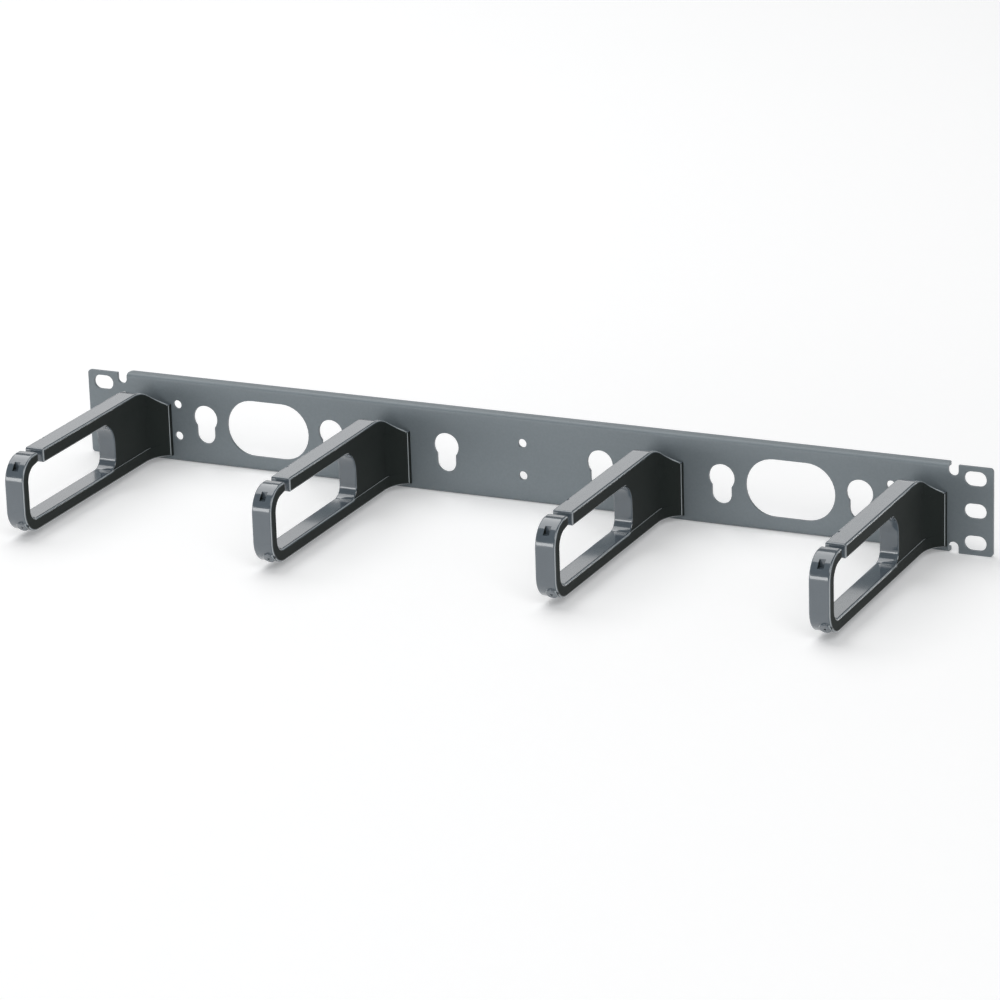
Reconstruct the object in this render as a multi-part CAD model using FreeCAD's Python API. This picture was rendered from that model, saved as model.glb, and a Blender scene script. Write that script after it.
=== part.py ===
"""Horizontal cable manager for a 19 inch rack, one unit high.

A folded steel panel carries four one-piece moulded cable rings, each held by two
screws from behind.  X runs along the panel, +Z is up and the rings reach forward
along -Y.  The origin is the middle of the rack hole pattern on the rear face of the
ears, where the panel meets the rack.
"""
import FreeCAD, Part
import math
import os

V = FreeCAD.Vector

# ---------------------------------------------------------------- rack standard
PANEL_WIDTH = 482.6          # 19 inch front
PANEL_HEIGHT = 43.66         # one unit less the working gap
RACK_HOLE_INSET = 8.75       # from the ear's outer edge to its column of holes
RACK_HOLE_PITCH = 15.875     # between the holes of one column
RACK_HOLES_PER_EAR = 3
RACK_SLOT_LENGTH = 11.0
RACK_SLOT_WIDTH = 7.4

# ---------------------------------------------------------------- folded sheet
SHEET = 1.5
BEND_INNER_R = 0.6
EAR_WIDTH = 22.15            # flat sheet outside the end of the flanges
FLANGE_DEPTH = 6.0           # outside, front face to rear edge
FLANGE_CORNER_R = 1.5
EAR_CORNER_R = 1.8
NOTCH_WIDTH = 5.1            # bend relief beside each ear, round at the bottom
NOTCH_DEPTH = 5.5

# ---------------------------------------------------------------- panel openings
# places along the panel, as shares of the folded half length
OBROUND_SHARES = (-0.638, 0.638)
KEYHOLE_SHARES = (-0.7985, -0.4773, -0.1878, 0.1878, 0.4773, 0.7985)
SPARE_HOLE_SHARES = (-0.8697, 0.0, 0.8697)
RING_SHARES = (-0.9418, -0.3322, 0.3322, 0.9418)
OBROUND_LENGTH = 45.6
OBROUND_HEIGHT = 29.1
KEYHOLE_LOBE_D = 13.4
KEYHOLE_SLOT_WIDTH = 10.2
KEYHOLE_HEIGHT = 20.0
KEYHOLE_MID_Z = -0.8
SPARE_HOLE_D = 4.5
SPARE_HOLE_PITCH = 16.6

# ---------------------------------------------------------------- cable rings
RING_WIDTH = 10.4
RING_REACH = 136.6           # every reach is measured from the panel's front face
RING_BOTTOM_Z = -18.8
RING_HEIGHT = 38.2
UPPER_ARM = 7.0
LOWER_ARM = 6.4
POST = 6.0
FRONT_TOP_R = 12.5
FRONT_BOTTOM_R = 12.0
HOOK_INNER_R = 7.0
HOOK_ROOT = 6.8              # lip thickness where it leaves the post
HOOK_TIP = 4.9               # and where it ends
HOOK_RUN = 16.3              # from the ring's front back to the lip's end
MOUTH = 4.6                  # gap between the lip and the upper arm
END_R = 1.3                  # rounding of the lip's end and of the arm's end
LOOP_WALL_REACH = 45.6       # back wall of the loop
LOOP_TOP_R = 11.5
LOOP_BACK_R = 5.5
LOOP_FRONT_R = 5.8
SHOULDER_REACH = 16.3        # distance at which the arm's top meets the slope
SHOULDER_R = 25.0
EDGE_R = 1.1                 # rounding of every long edge of the moulding
FOOT_WIDTH = 24.4
FOOT_HEIGHT = 26.7           # at the panel; its top slopes up to the arm
FOOT_EDGE = 2.3              # thickness left at the foot's outer sides
FLARE_R = 14.0               # hollow curve from the body out to the foot

# side relief of the web, which leaves a fine ledge in line with the lower arm
RELIEF_DEPTH = 0.5
RELIEF_RIM = 3.2
RELIEF_RUN_OUT = 0.45        # forward shift of its floor, which thins it out on the flare

# ---------------------------------------------------------------- moulded details
GATE_WIDTH = 3.0             # upright pocket in the front of the upper bend
GATE_DEPTH = 5.4             # floor behind the ring's front
GATE_DROP = 5.9              # ledge below the ring's top
LUG_D = 6.0                  # round lug on the lower front corner
LUG_STAND = 1.0
LUG_ANGLE = 38.0
LUG_OFFSET = 2.1
LUG_EDGE_R = 0.5
DIMPLE_D = 1.2
DIMPLE_DEPTH = 0.8
NICK_SETBACK = 36.6          # small nick in the arm's upper left edge
NICK_LENGTH = 2.2
NICK_DEPTH = 0.9

# ---------------------------------------------------------------- ring screws
SCREW_PITCH = 16.0
SCREW_D = 3.4
SCREW_LENGTH = 12.0
SCREW_TIP = 1.2
HEAD_D = 6.8
HEAD_HEIGHT = 2.4
HEAD_EDGE_R = 1.2
CROSS_SPAN = 3.8
CROSS_WIDTH = 1.0
CROSS_DEPTH = 1.3
PANEL_GAP = 0.6              # clearance on the diameter in the panel
PILOT_GAP = 0.1              # clearance on the diameter in the moulding
PILOT_SPARE = 1.5            # bore left beyond the screw's tip

# ---------------------------------------------------------------- derived planes
FRONT_Y = -SHEET
HALF_H = PANEL_HEIGHT / 2
HALF_W = PANEL_WIDTH / 2
HALF_CHANNEL = HALF_W - EAR_WIDTH
FLANGE_REAR_Y = FRONT_Y + FLANGE_DEPTH
RING_TOP_Z = RING_BOTTOM_Z + RING_HEIGHT
FOOT_TOP_Z = RING_BOTTOM_Z + FOOT_HEIGHT
FOOT_MID_Z = RING_BOTTOM_Z + FOOT_HEIGHT / 2
FLARE_RISE = (FOOT_WIDTH - RING_WIDTH) / 2
FLARE_X = RING_WIDTH / 2 + FLARE_R
FLARE_REACH = FOOT_EDGE + math.sqrt(FLARE_R ** 2 - (FLARE_R - FLARE_RISE) ** 2)
HOOK_TIP_REACH = RING_REACH - HOOK_RUN
RING_X = [share * HALF_CHANNEL for share in RING_SHARES]
OVER = 1.0                   # how far a cutting tool runs past a face


# ---------------------------------------------------------------- shared helpers
def rounded_wire(corners):
    """Closed wire through (point, radius) corners, each turned by a tangent arc."""
    turns = []
    for i, (here, radius) in enumerate(corners):
        before = corners[i - 1][0]
        after = corners[(i + 1) % len(corners)][0]
        to_before = (before - here).normalize()
        to_after = (after - here).normalize()
        half_turn = to_before.getAngle(to_after) / 2
        setback = radius / math.tan(half_turn)
        crown_gap = radius / math.sin(half_turn) - radius
        crown = here + (to_before + to_after).normalize() * crown_gap
        turns.append((here + to_before * setback, crown, here + to_after * setback, radius))
    edges = []
    for i, (arc_in, crown, arc_out, radius) in enumerate(turns):
        following = turns[(i + 1) % len(turns)][0]
        if radius > 0:
            edges.append(Part.Arc(arc_in, crown, arc_out).toShape())
        if (following - arc_out).Length > 1e-6:
            edges.append(Part.makeLine(arc_out, following))
    return Part.Wire(edges)


def prism(corners, along):
    """Solid swept straight from a rounded outline."""
    return Part.Face(rounded_wire(corners)).extrude(along)


def slot_tool(length, height, x, z):
    """Round-ended tool through the sheet, with its sides along X and Z."""
    y = FRONT_Y - OVER
    radius = min(length, height) / 2
    outline = [
        (V(x - length / 2, y, z - height / 2), radius),
        (V(x + length / 2, y, z - height / 2), radius),
        (V(x + length / 2, y, z + height / 2), radius),
        (V(x - length / 2, y, z + height / 2), radius),
    ]
    return prism(outline, V(0, SHEET + 2 * OVER, 0))


def round_tool(diameter, x, z):
    """Drill through the sheet."""
    start = V(x, FRONT_Y - OVER, z)
    return Part.makeCylinder(diameter / 2, SHEET + 2 * OVER, start, V(0, 1, 0))


def is_sharp(solid, edge):
    """True where the two faces at an edge meet at a real corner."""
    faces = solid.ancestorsOfType(edge, Part.Face)
    if len(faces) != 2:
        return False
    point = edge.valueAt((edge.FirstParameter + edge.LastParameter) / 2)
    normals = [face.normalAt(*face.Surface.parameter(point)) for face in faces]
    return normals[0].getAngle(normals[1]) > math.radians(10)


# ---------------------------------------------------------------- folded panel
def channel():
    """Flat front with its top and bottom flanges bent back."""
    bend_outer = BEND_INNER_R + SHEET
    x = -HALF_CHANNEL
    inner_z = HALF_H - SHEET
    section = [
        (V(x, FLANGE_REAR_Y, HALF_H), 0),
        (V(x, FRONT_Y, HALF_H), bend_outer),
        (V(x, FRONT_Y, -HALF_H), bend_outer),
        (V(x, FLANGE_REAR_Y, -HALF_H), 0),
        (V(x, FLANGE_REAR_Y, -inner_z), 0),
        (V(x, 0, -inner_z), BEND_INNER_R),
        (V(x, 0, inner_z), BEND_INNER_R),
        (V(x, FLANGE_REAR_Y, inner_z), 0),
    ]
    folded = prism(section, V(2 * HALF_CHANNEL, 0, 0))
    low = -HALF_H - OVER
    plan = [
        (V(-HALF_CHANNEL, FRONT_Y - OVER, low), 0),
        (V(HALF_CHANNEL, FRONT_Y - OVER, low), 0),
        (V(HALF_CHANNEL, FLANGE_REAR_Y, low), FLANGE_CORNER_R),
        (V(-HALF_CHANNEL, FLANGE_REAR_Y, low), FLANGE_CORNER_R),
    ]
    return folded.common(prism(plan, V(0, 0, PANEL_HEIGHT + 2 * OVER)))


def ear(side):
    """Flat rack ear outside the end of the channel."""
    outline = [
        (V(side * HALF_CHANNEL, FRONT_Y, -HALF_H), 0),
        (V(side * HALF_W, FRONT_Y, -HALF_H), EAR_CORNER_R),
        (V(side * HALF_W, FRONT_Y, HALF_H), EAR_CORNER_R),
        (V(side * HALF_CHANNEL, FRONT_Y, HALF_H), 0),
    ]
    return prism(outline, V(0, SHEET, 0))


def relief_notches():
    """U shaped bend reliefs above and below, beside each ear."""
    length = 2 * NOTCH_DEPTH
    x = HALF_CHANNEL + NOTCH_WIDTH / 2
    return [slot_tool(NOTCH_WIDTH, length, sx * x, sz * HALF_H) for sx in (-1, 1) for sz in (-1, 1)]


def rack_slots():
    """Three mounting slots in each ear."""
    first = -RACK_HOLE_PITCH * (RACK_HOLES_PER_EAR - 1) / 2
    tools = []
    for side in (-1, 1):
        for i in range(RACK_HOLES_PER_EAR):
            z = first + i * RACK_HOLE_PITCH
            x = side * (HALF_W - RACK_HOLE_INSET)
            tools.append(slot_tool(RACK_SLOT_LENGTH, RACK_SLOT_WIDTH, x, z))
    return tools


def keyhole(x):
    """Round lobe on top, a narrower round-ended slot hanging from it."""
    top = KEYHOLE_MID_Z + KEYHOLE_HEIGHT / 2
    bottom = top - KEYHOLE_HEIGHT
    lobe_z = top - KEYHOLE_LOBE_D / 2
    slot_height = lobe_z + KEYHOLE_SLOT_WIDTH / 2 - bottom
    slot = slot_tool(KEYHOLE_SLOT_WIDTH, slot_height, x, bottom + slot_height / 2)
    return slot.fuse(round_tool(KEYHOLE_LOBE_D, x, lobe_z))


def screw_heights():
    """The two screw lines behind each ring's foot."""
    return [FOOT_MID_Z + side * SCREW_PITCH / 2 for side in (-1, 1)]


def panel():
    """One sheet: channel, ears and every opening."""
    sheet = channel().fuse([ear(-1), ear(1)]).removeSplitter()
    tools = relief_notches() + rack_slots()
    for share in OBROUND_SHARES:
        tools.append(slot_tool(OBROUND_LENGTH, OBROUND_HEIGHT, share * HALF_CHANNEL, 0))
    tools += [keyhole(share * HALF_CHANNEL) for share in KEYHOLE_SHARES]
    for share in SPARE_HOLE_SHARES:
        x = share * HALF_CHANNEL
        tools += [round_tool(SPARE_HOLE_D, x, side * SPARE_HOLE_PITCH / 2) for side in (-1, 1)]
    for x in RING_X:
        tools += [round_tool(SCREW_D + PANEL_GAP, x, z) for z in screw_heights()]
    return sheet.cut(tools).removeSplitter()


# ---------------------------------------------------------------- moulded ring
def side_point(reach, z, x=0.0):
    """Point of the ring's side view."""
    return V(x, FRONT_Y - reach, z)


def side_profile():
    """Ring seen from the side, foot to hooked lip, with the open mouth on top."""
    x = -FOOT_WIDTH / 2
    low = RING_BOTTOM_Z
    top = RING_TOP_Z
    post_inside = RING_REACH - POST
    arm_end = HOOK_TIP_REACH - MOUTH
    outline = [
        (side_point(0, low, x), 0),
        (side_point(RING_REACH, low, x), FRONT_BOTTOM_R),
        (side_point(RING_REACH, top, x), FRONT_TOP_R),
        (side_point(HOOK_TIP_REACH, top, x), END_R),
        (side_point(HOOK_TIP_REACH, top - HOOK_TIP, x), END_R),
        (side_point(post_inside, top - HOOK_ROOT, x), HOOK_INNER_R),
        (side_point(post_inside, low + LOWER_ARM, x), LOOP_FRONT_R),
        (side_point(LOOP_WALL_REACH, low + LOWER_ARM, x), LOOP_BACK_R),
        (side_point(LOOP_WALL_REACH, top - UPPER_ARM, x), LOOP_TOP_R),
        (side_point(arm_end, top - UPPER_ARM, x), END_R),
        (side_point(arm_end, top, x), END_R),
        (side_point(SHOULDER_REACH, top, x), SHOULDER_R),
        (side_point(0, FOOT_TOP_Z, x), 0),
    ]
    return prism(outline, V(FOOT_WIDTH, 0, 0))


def plan_point(x, reach):
    """Point of the ring's plan, below the moulding."""
    return V(x, FRONT_Y - reach, RING_BOTTOM_Z - OVER)


def flare_arc(side):
    """Hollow curve of one flank, from the foot's outer side to the slim body."""
    turn = math.acos(1 - FLARE_RISE / FLARE_R) / 2
    mid_x = side * (FLARE_X - FLARE_R * math.cos(turn))
    start = plan_point(side * FOOT_WIDTH / 2, FOOT_EDGE)
    middle = plan_point(mid_x, FLARE_REACH - FLARE_R * math.sin(turn))
    end = plan_point(side * RING_WIDTH / 2, FLARE_REACH)
    return Part.Arc(start, middle, end).toShape()


def plan_profile():
    """Ring seen from above: slim body that flares in hollow curves to the foot."""
    body = RING_WIDTH / 2
    foot = FOOT_WIDTH / 2
    tip = RING_REACH + OVER
    edges = [
        Part.makeLine(plan_point(foot, 0), plan_point(foot, FOOT_EDGE)),
        flare_arc(1),
        Part.makeLine(plan_point(body, FLARE_REACH), plan_point(body, tip)),
        Part.makeLine(plan_point(body, tip), plan_point(-body, tip)),
        Part.makeLine(plan_point(-body, tip), plan_point(-body, FLARE_REACH)),
        flare_arc(-1),
        Part.makeLine(plan_point(-foot, FOOT_EDGE), plan_point(-foot, 0)),
        Part.makeLine(plan_point(-foot, 0), plan_point(foot, 0)),
    ]
    outline = Part.Face(Part.Wire(edges))
    return outline.extrude(V(0, 0, RING_HEIGHT + 2 * OVER))


def softened_body():
    """The two profiles crossed, with the moulding's rounded edges."""
    body = side_profile().common(plan_profile()).removeSplitter()
    edges = []
    for edge in body.Edges:
        against_panel = abs(edge.BoundBox.YMax - FRONT_Y) < 1e-3
        if not against_panel and is_sharp(body, edge):
            edges.append(edge)
    return body.makeFillet(EDGE_R, edges)


def web_relief(side):
    """Shallow relief of the web, whose floor runs out on the flare."""
    ledge_z = RING_BOTTOM_Z + LOWER_ARM
    inner = side * (RING_WIDTH / 2 - RELIEF_DEPTH)
    centre_x = side * (FLARE_X - RELIEF_DEPTH)
    centre_reach = FLARE_REACH + RELIEF_RUN_OUT
    into_loop = LOOP_WALL_REACH + LOOP_TOP_R
    roof_z = RING_TOP_Z - UPPER_ARM
    outline = [
        (side_point(FOOT_EDGE, ledge_z, inner), 0),
        (side_point(into_loop, ledge_z, inner), 0),
        (side_point(into_loop, roof_z, inner), 0),
        (side_point(SHOULDER_REACH, roof_z, inner), SHOULDER_R),
        (side_point(FOOT_EDGE, FOOT_TOP_Z - RELIEF_RIM, inner), 0),
    ]
    window = prism(outline, V(centre_x - inner, 0, 0))
    start = V(min(inner, centre_x), FRONT_Y - into_loop, ledge_z)
    flat = Part.makeBox(abs(centre_x - inner), into_loop - centre_reach, RING_HEIGHT, start)
    curve = Part.makeCylinder(FLARE_R, RING_HEIGHT, side_point(centre_reach, ledge_z, centre_x))
    return window.common(flat.fuse(curve))


def gate_pocket():
    """Upright pocket cut straight in from the front of the upper bend."""
    start = V(-GATE_WIDTH / 2, FRONT_Y - RING_REACH - OVER, RING_TOP_Z - GATE_DROP)
    return Part.makeBox(GATE_WIDTH, GATE_DEPTH + OVER, GATE_DROP + OVER, start)


def corner_lug():
    """Round lug that stands on the curve of the lower front corner."""
    turn = math.radians(LUG_ANGLE)
    outward = V(0, -math.cos(turn), -math.sin(turn))
    bend = side_point(RING_REACH - FRONT_BOTTOM_R, RING_BOTTOM_Z + FRONT_BOTTOM_R, LUG_OFFSET)
    root = bend + outward * (FRONT_BOTTOM_R - POST / 2)
    lug = Part.makeCylinder(LUG_D / 2, POST / 2 + LUG_STAND, root, outward)
    rim = max(lug.Edges, key=lambda e: e.CenterOfMass.dot(outward))
    lug = lug.makeFillet(LUG_EDGE_R, [rim])
    floor = bend + outward * (FRONT_BOTTOM_R + LUG_STAND - DIMPLE_DEPTH)
    return lug, Part.makeCylinder(DIMPLE_D / 2, DIMPLE_DEPTH + OVER, floor, outward)


def edge_nick():
    """Small nick in the upper left edge of the arm."""
    reach = RING_REACH - NICK_SETBACK + NICK_LENGTH / 2
    start = side_point(reach, RING_TOP_Z - NICK_DEPTH, -RING_WIDTH / 2)
    return Part.makeBox(NICK_DEPTH + EDGE_R / 2, NICK_LENGTH, NICK_DEPTH + OVER, start)


def screw_pilots():
    """Blind bores in the back of the foot."""
    depth = SCREW_LENGTH - SHEET + PILOT_SPARE
    bore = (SCREW_D + PILOT_GAP) / 2
    return [Part.makeCylinder(bore, depth, V(0, FRONT_Y, z), V(0, -1, 0)) for z in screw_heights()]


def ring():
    """One moulded cable ring, drawn on X = 0."""
    lug, dimple = corner_lug()
    body = softened_body()
    body = body.cut([web_relief(-1), web_relief(1), gate_pocket(), edge_nick()])
    body = body.fuse(lug).cut([dimple] + screw_pilots())
    return body.removeSplitter()


# ---------------------------------------------------------------- ring screws
def ring_screw():
    """Pan head screw, head on the panel's rear face, shank toward the front."""
    tip_y = -SCREW_LENGTH
    radius = SCREW_D / 2
    half = [
        (V(0, HEAD_HEIGHT, 0), 0),
        (V(HEAD_D / 2, HEAD_HEIGHT, 0), HEAD_EDGE_R),
        (V(HEAD_D / 2, 0, 0), 0),
        (V(radius, 0, 0), 0),
        (V(radius, tip_y + SCREW_TIP, 0), 0),
        (V(radius / 2, tip_y, 0), 0),
        (V(0, tip_y, 0), 0),
    ]
    turned = Part.Face(rounded_wire(half)).revolve(V(0, 0, 0), V(0, 1, 0), 360)
    floor_y = HEAD_HEIGHT - CROSS_DEPTH
    long_side = CROSS_SPAN / 2
    short_side = CROSS_WIDTH / 2
    deep = CROSS_DEPTH + OVER
    flat = Part.makeBox(CROSS_SPAN, deep, CROSS_WIDTH, V(-long_side, floor_y, -short_side))
    upright = Part.makeBox(CROSS_WIDTH, deep, CROSS_SPAN, V(-short_side, floor_y, -long_side))
    return turned.cut(flat.fuse(upright).removeSplitter())


def placed(shape, x, z=0.0):
    """Copy of a shape moved across the panel."""
    copy = shape.copy()
    copy.translate(V(x, 0, z))
    return copy


# ---------------------------------------------------------------- every node
os.makedirs("parts", exist_ok=True)

panel_shape = panel()
panel_shape.exportStep("parts/panel.step")

ring_shape = ring()
for number, ring_x in enumerate(RING_X, start=1):
    placed(ring_shape, ring_x).exportStep(f"parts/ring_{number}.step")

screw_shape = ring_screw()
screws = [placed(screw_shape, x, z) for x in RING_X for z in screw_heights()]
Part.makeCompound(screws).exportStep("parts/ring_screws.step")

for name, shape in (("panel", panel_shape), ("ring", ring_shape), ("screw", screw_shape)):
    box = shape.BoundBox
    print(f"{name}: valid {shape.isValid()}, solids {len(shape.Solids)}, volume {shape.Volume:.1f}")
    print(f"   X {box.XMin:.2f}..{box.XMax:.2f}  Y {box.YMin:.2f}..{box.YMax:.2f}"
          f"  Z {box.ZMin:.2f}..{box.ZMax:.2f}")
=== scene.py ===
# %% [markdown]
# # A cable manager for a rack, dressed in Blender
# The maker punches and folds one long sheet of steel, powder coats it, and screws
# four black plastic rings to its front. The solids come from the CAD frame. This
# file gives them their finishes, makes the sheet and the screws again with Geometry
# Nodes, and sets up a small studio around them. Blender works in metres. The object's
# sizes are written in millimetres, so each is multiplied by MM, and those of the
# studio are in metres as they stand.

# %% Load the frame
import math

import bmesh
import bpy
from mathutils import Matrix, Quaternion, Vector


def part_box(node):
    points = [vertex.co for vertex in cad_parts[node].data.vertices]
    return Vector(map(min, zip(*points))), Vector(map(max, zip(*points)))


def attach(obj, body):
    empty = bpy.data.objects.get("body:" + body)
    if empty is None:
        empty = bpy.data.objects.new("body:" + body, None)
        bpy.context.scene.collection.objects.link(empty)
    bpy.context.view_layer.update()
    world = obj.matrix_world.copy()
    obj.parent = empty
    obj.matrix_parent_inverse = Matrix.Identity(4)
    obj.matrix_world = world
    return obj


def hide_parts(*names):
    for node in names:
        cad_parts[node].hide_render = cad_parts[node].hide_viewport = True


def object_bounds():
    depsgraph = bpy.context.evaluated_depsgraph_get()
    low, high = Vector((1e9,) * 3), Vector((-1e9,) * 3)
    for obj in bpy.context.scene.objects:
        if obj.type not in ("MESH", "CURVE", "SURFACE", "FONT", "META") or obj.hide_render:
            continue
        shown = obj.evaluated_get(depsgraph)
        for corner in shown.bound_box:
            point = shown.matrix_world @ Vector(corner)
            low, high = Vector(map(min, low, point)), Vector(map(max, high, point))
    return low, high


MM = 0.001

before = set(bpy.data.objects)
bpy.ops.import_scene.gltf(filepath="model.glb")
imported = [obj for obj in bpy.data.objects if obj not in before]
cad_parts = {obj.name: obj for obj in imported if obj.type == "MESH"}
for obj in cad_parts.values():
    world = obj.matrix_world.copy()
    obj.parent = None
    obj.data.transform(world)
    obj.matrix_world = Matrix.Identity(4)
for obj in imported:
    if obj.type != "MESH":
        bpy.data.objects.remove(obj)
cad_low, cad_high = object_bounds()
print("nodes in the frame:", sorted(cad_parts))
print("CAD box in millimetres:", [round(v / MM, 2) for v in (*cad_low, *cad_high)])

# %% [markdown]
# Colours are written as the hex codes that a paint chart shows. Blender's shaders
# want linear light, so one function does the turning. A second one adds a node, sets
# it and links it, and every shader and every Geometry Nodes tree here is made with it
# alone. A node given to it in place of a value stands for that node's first output,
# and all the items of a list are linked to the one input. A noise texture hardly ever
# comes near nought or one, so a value that should reach both of its ends follows the
# middle of the noise.

# %% Helpers for colours and nodes
MATH = "ShaderNodeMath"
NOISE_MIDDLE = (0.3, 0.7)        # nearly all values of a noise texture lie in here


def colour(code):
    """Linear RGBA of an sRGB hex colour."""
    parts = [int(code[i:i + 2], 16) / 255 for i in (1, 3, 5)]
    linear = [p / 12.92 if p <= 0.04045 else ((p + 0.055) / 1.055) ** 2.4 for p in parts]
    return (*linear, 1.0)


def add(tree, kind, inputs=None, **settings):
    """New node in a tree, with its settings, and values or links for its inputs."""
    node = tree.nodes.new(kind)
    for name, value in settings.items():
        setattr(node, name, value)
    for key, value in (inputs or {}).items():
        for item in value if isinstance(value, list) else [value]:
            if isinstance(item, bpy.types.Node):
                item = item.outputs[0]
            if isinstance(item, bpy.types.NodeSocket):
                tree.links.new(item, node.inputs[key])
            else:
                node.inputs[key].default_value = item
    return node


def new_material(name):
    """Empty node material and its output node."""
    material = bpy.data.materials.new(name)
    material.use_nodes = True
    material.node_tree.nodes.clear()
    output = add(material.node_tree, "ShaderNodeOutputMaterial")
    return material, material.node_tree, output


print("mid grey as linear light:", [round(v, 3) for v in colour("#808080")[:3]])

# %% [markdown]
# Powder coat is sprayed on as dry plastic dust and baked. It flows out into a skin
# with a very fine "orange peel", gentle bumps about a millimetre apart. The peel
# breaks up reflections, so a charcoal powder coat reads as a soft even grey. A noise
# texture at that spacing drives a slight bump and a little of the colour, and a much
# slower noise makes the gloss uneven, as the thickness of the coat is. Its IOR is
# that of most resins, 1.5.

# %% Charcoal powder coat
PEEL_SPACING = 1.1 * MM
PEEL_DEPTH = 0.012 * MM
PEEL_STRENGTH = 0.35
CLOUD_SPACING = 60 * MM
POWDER_ROUGHNESS = (0.36, 0.44)
RESIN_IOR = 1.5


def powder_coat():
    """Finish of the sheet."""
    material, tree, output = new_material("charcoal semi-gloss powder coat")
    place = add(tree, "ShaderNodeTexCoord").outputs["Object"]
    peel = add(tree, "ShaderNodeTexNoise",
               {"Vector": place, "Scale": 1 / PEEL_SPACING, "Detail": 2.0})
    cloud = add(tree, "ShaderNodeTexNoise",
                {"Vector": place, "Scale": 1 / CLOUD_SPACING, "Detail": 3.0})
    bump = add(tree, "ShaderNodeBump",
               {"Height": peel, "Strength": PEEL_STRENGTH, "Distance": PEEL_DEPTH})
    grey = add(tree, "ShaderNodeMix",
               {"Factor": peel, "A": colour("#747D82"), "B": colour("#7E878C")},
               data_type="RGBA").outputs[2]
    gloss = add(tree, "ShaderNodeMapRange",
                {"Value": cloud, "From Min": NOISE_MIDDLE[0], "From Max": NOISE_MIDDLE[1],
                 "To Min": POWDER_ROUGHNESS[0], "To Max": POWDER_ROUGHNESS[1]})
    coat = add(tree, "ShaderNodeBsdfPrincipled",
               {"Base Color": grey, "Roughness": gloss, "IOR": RESIN_IOR, "Normal": bump})
    tree.links.new(coat.outputs["BSDF"], output.inputs["Surface"])
    return material


POWDER_COAT = powder_coat()
print("made", POWDER_COAT.name)

# %% [markdown]
# The rings are injection moulded from black ABS. The faces that run round a ring were
# polished in the mould, so they are smooth and mirror the room, and a clear coat
# layer gives them that depth. The flanks came off a matt side of the mould and are
# rough, and the near-black colour on them is painted shade. Where the two meet, and
# along the fine ledge on each flank, a paler colour is painted highlight. The melt
# leaves a faint waviness about a centimetre long. One material does it all, and these
# are its sizes.

# %% Sizes of the plastic's finish
WAVE_SPACING = 14 * MM
WAVE_DEPTH = 0.03 * MM
WAVE_STRENGTH = 0.3
GRAIN_SPACING = 3 * MM
POLISH_ROUGHNESS = (0.15, 0.18)
MATT_ROUGHNESS = 0.8
ABS_IOR = 1.54
CLEAR_IOR = 1.6                  # of the clear coat layer
CLEAR_ROUGHNESS = 0.08
PARTING_HALF_WIDTH = 0.16 * MM
PARTING_HEIGHT = 0.03 * MM

# Where a point is: the finishes change over the short fades.
FLARE_FRONT_Y = -16.0 * MM       # how far forward the flare of a foot reaches
FLARE_FADE = 0.4 * MM
FOOT_SIDE = 11.2 * MM            # half width of the flare, up to the foot's rounded side
FOOT_FADE = 0.2 * MM
LEDGE_SIDE = 4.7 * MM            # where the ledge rises from the sunk part of a flank
LEDGE_WIDTH = 0.7 * MM
LEDGE_FADE = 0.1 * MM
LEDGE_LOW_Z = -17.5 * MM         # it runs above the foot's bottom
LEDGE_TOP_Z = 0.0                # and below the foot's top
LEDGE_END_FADE = 0.5 * MM

# Which way a point faces: parts of its normal, from where a finish is absent to where
# it is whole.
# The flank share also darkens the colour of the sideways faces, which is painted shade.
FLANK_SIDEWAYS = (0.955, 0.985)
EDGE_HIGHLIGHT_SIDEWAYS_LOW = (0.58, 0.7)
EDGE_HIGHLIGHT_SIDEWAYS_HIGH = (0.9, 0.78)
FLARE_LEVEL = (0.5, 0.3)
LEDGE_LEVEL = (0.7, 0.85)
FACING_FRONT = (-0.6, -0.8)
print("parting line is", round(2 * PARTING_HALF_WIDTH / MM, 2), "mm wide")

# %% [markdown]
# A hair line runs down the front of each ring, where the two halves of the mould met
# on the plane through its middle. The rings stand at two distances on both sides of
# the panel's middle, so a point's distance from the nearer of the two planes draws
# that line on all four at once.

# %% How far a point is from a ring's middle
def ring_middle(number):
    """Where a ring's middle plane stands along the panel."""
    low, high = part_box(f"ring_{number}")
    return (low[0] + high[0]) / 2


def from_middle(tree, place):
    """Distance of a point from the middle plane of the nearest ring."""
    along = add(tree, "ShaderNodeSeparateXYZ", {"Vector": place}).outputs["X"]
    either_side = add(tree, MATH, {0: along}, operation="ABSOLUTE")
    gaps = {}
    for key, number in enumerate((3, 4)):
        gap = add(tree, MATH, {0: either_side, 1: ring_middle(number)}, operation="SUBTRACT")
        gaps[key] = add(tree, MATH, {0: gap}, operation="ABSOLUTE")
    return add(tree, MATH, gaps, operation="MINIMUM")


print("mould lines at", [round(ring_middle(n) / MM, 1) for n in (1, 2, 3, 4)], "mm")

# %% [markdown]
# The finish asks which way a point faces, and near the panel, where the matt flank
# curls forward into the flared foot, also where the point is. Each row of the first
# table is one smooth fade: a value, where the fade starts, and where it is whole. Each
# row of the second names the shares that have to hold together, so they are multiplied.

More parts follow.
